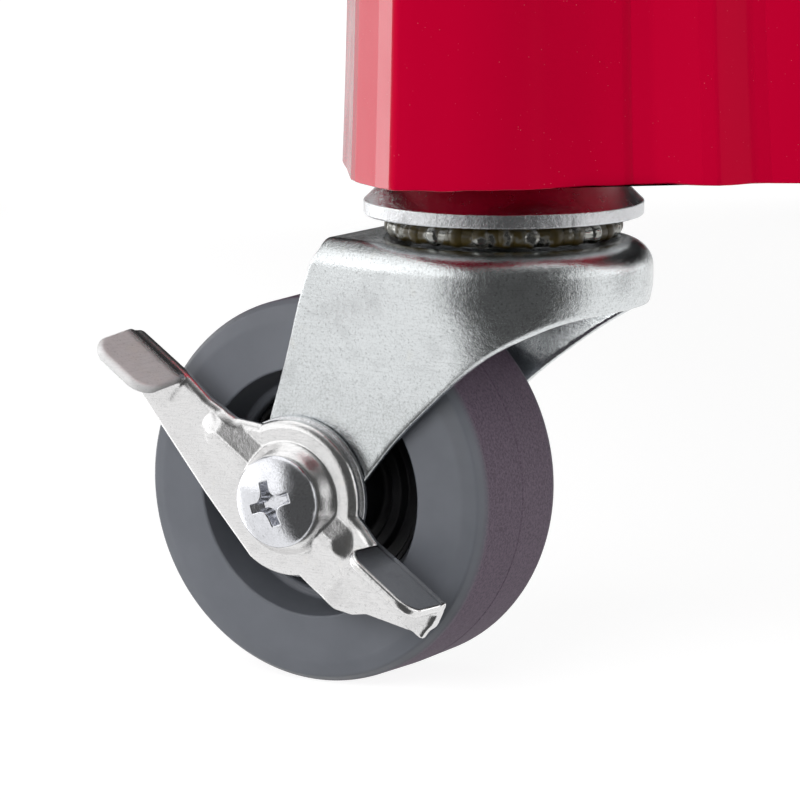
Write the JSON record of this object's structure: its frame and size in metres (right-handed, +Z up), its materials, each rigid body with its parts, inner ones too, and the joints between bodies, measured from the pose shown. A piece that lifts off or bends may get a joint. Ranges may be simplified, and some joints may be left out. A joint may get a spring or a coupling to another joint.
{
  "type": "book cart",
  "caption": "Book cart with two double-sided sloping shelves, a flat bottom shelf, fluted corner legs, end handles and swivel casters with foot brakes.",
  "frame": {"origin": "on the floor, below the middle of the cart", "axes": "+X along the cart's length towards handle_1, +Z up"},
  "size_m": [0.9408, 0.5206, 0.96],
  "materials": {
    "red_plastic": "glossy moulded plastic, deep red",
    "black_plastic": "fine textured moulded plastic",
    "hub_plastic": "satin moulded plastic",
    "tyre_rubber": "satin grey rubber, matte speckled tread",
    "zinc_plate": "bright zinc plate, finely scratched and mottled",
    "bearing_steel": "polished steel with grease"
  },
  "bodies": {
    "root": {"caster_1_stem": "bearing_steel", "caster_1_upper_race": "zinc_plate", "caster_2_stem": "bearing_steel", "caster_2_upper_race": "zinc_plate", "caster_3_stem": "bearing_steel", "caster_3_upper_race": "zinc_plate", "caster_4_stem": "bearing_steel", "caster_4_upper_race": "zinc_plate", "leg_1": "red_plastic", "stem_socket_1": "red_plastic", "handle_bolt_1": "bearing_steel", "leg_2": "red_plastic", "stem_socket_2": "red_plastic", "handle_bolt_2": "bearing_steel", "leg_3": "red_plastic", "stem_socket_3": "red_plastic", "handle_bolt_3": "bearing_steel", "leg_4": "red_plastic", "stem_socket_4": "red_plastic", "handle_bolt_4": "bearing_steel", "handle_1": "black_plastic", "handle_2": "black_plastic", "bottom_shelf": "black_plastic", "middle_shelf": "black_plastic", "top_shelf": "black_plastic"},
    "caster_1_fork_body": {"caster_1_fork": "zinc_plate", "caster_1_axle_screw": "zinc_plate", "caster_1_axle_nut": "zinc_plate", "caster_1_bushing": "bearing_steel", "caster_1_ball_ring": "bearing_steel", "caster_1_brake_plate": "zinc_plate"},
    "caster_1_wheel": {"caster_1_wheel_core": "hub_plastic", "caster_1_tyre": "tyre_rubber"},
    "caster_1_lever": {"caster_1_brake_lever": "zinc_plate"},
    "caster_2_fork_body": {"caster_2_fork": "zinc_plate", "caster_2_axle_screw": "zinc_plate", "caster_2_axle_nut": "zinc_plate", "caster_2_bushing": "bearing_steel", "caster_2_ball_ring": "bearing_steel"},
    "caster_2_wheel": {"caster_2_wheel_core": "hub_plastic", "caster_2_tyre": "tyre_rubber"},
    "caster_3_fork_body": {"caster_3_fork": "zinc_plate", "caster_3_axle_screw": "zinc_plate", "caster_3_axle_nut": "zinc_plate", "caster_3_bushing": "bearing_steel", "caster_3_ball_ring": "bearing_steel", "caster_3_brake_plate": "zinc_plate"},
    "caster_3_wheel": {"caster_3_wheel_core": "hub_plastic", "caster_3_tyre": "tyre_rubber"},
    "caster_3_lever": {"caster_3_brake_lever": "zinc_plate"},
    "caster_4_fork_body": {"caster_4_fork": "zinc_plate", "caster_4_axle_screw": "zinc_plate", "caster_4_axle_nut": "zinc_plate", "caster_4_bushing": "bearing_steel", "caster_4_ball_ring": "bearing_steel"},
    "caster_4_wheel": {"caster_4_wheel_core": "hub_plastic", "caster_4_tyre": "tyre_rubber"}
  },
  "joints": [
    {"name": "caster_1_swivel", "type": "hinge", "parent": "root", "child": "caster_1_fork_body", "pos_m": [0.3774, -0.1852, 0.09], "axis": [0, 0, 1], "continuous": true},
    {"name": "caster_1_roll", "type": "hinge", "parent": "caster_1_fork_body", "child": "caster_1_wheel", "pos_m": [0.35391, -0.20936, 0.038], "axis": [0.7169, -0.6972, 0], "continuous": true},
    {"name": "caster_1_brake", "type": "hinge", "parent": "caster_1_fork_body", "child": "caster_1_lever", "pos_m": [0.35391, -0.20936, 0.038], "axis": [0.7169, -0.6972, 0], "range_deg": [0, 18]},
    {"name": "caster_2_swivel", "type": "hinge", "parent": "root", "child": "caster_2_fork_body", "pos_m": [0.3774, 0.1852, 0.09], "axis": [0, 0, 1], "continuous": true},
    {"name": "caster_2_roll", "type": "hinge", "parent": "caster_2_fork_body", "child": "caster_2_wheel", "pos_m": [0.40907, 0.19673, 0.038], "axis": [-0.342, 0.9397, 0], "continuous": true},
    {"name": "caster_3_swivel", "type": "hinge", "parent": "root", "child": "caster_3_fork_body", "pos_m": [-0.3774, 0.1852, 0.09], "axis": [0, 0, 1], "continuous": true},
    {"name": "caster_3_roll", "type": "hinge", "parent": "caster_3_fork_body", "child": "caster_3_wheel", "pos_m": [-0.35391, 0.20936, 0.038], "axis": [-0.7169, 0.6972, 0], "continuous": true},
    {"name": "caster_3_brake", "type": "hinge", "parent": "caster_3_fork_body", "child": "caster_3_lever", "pos_m": [-0.35391, 0.20936, 0.038], "axis": [-0.7169, 0.6972, 0], "range_deg": [0, 18]},
    {"name": "caster_4_swivel", "type": "hinge", "parent": "root", "child": "caster_4_fork_body", "pos_m": [-0.3774, -0.1852, 0.09], "axis": [0, 0, 1], "continuous": true},
    {"name": "caster_4_roll", "type": "hinge", "parent": "caster_4_fork_body", "child": "caster_4_wheel", "pos_m": [-0.40907, -0.19673, 0.038], "axis": [0.342, -0.9397, 0], "continuous": true}
  ]
}
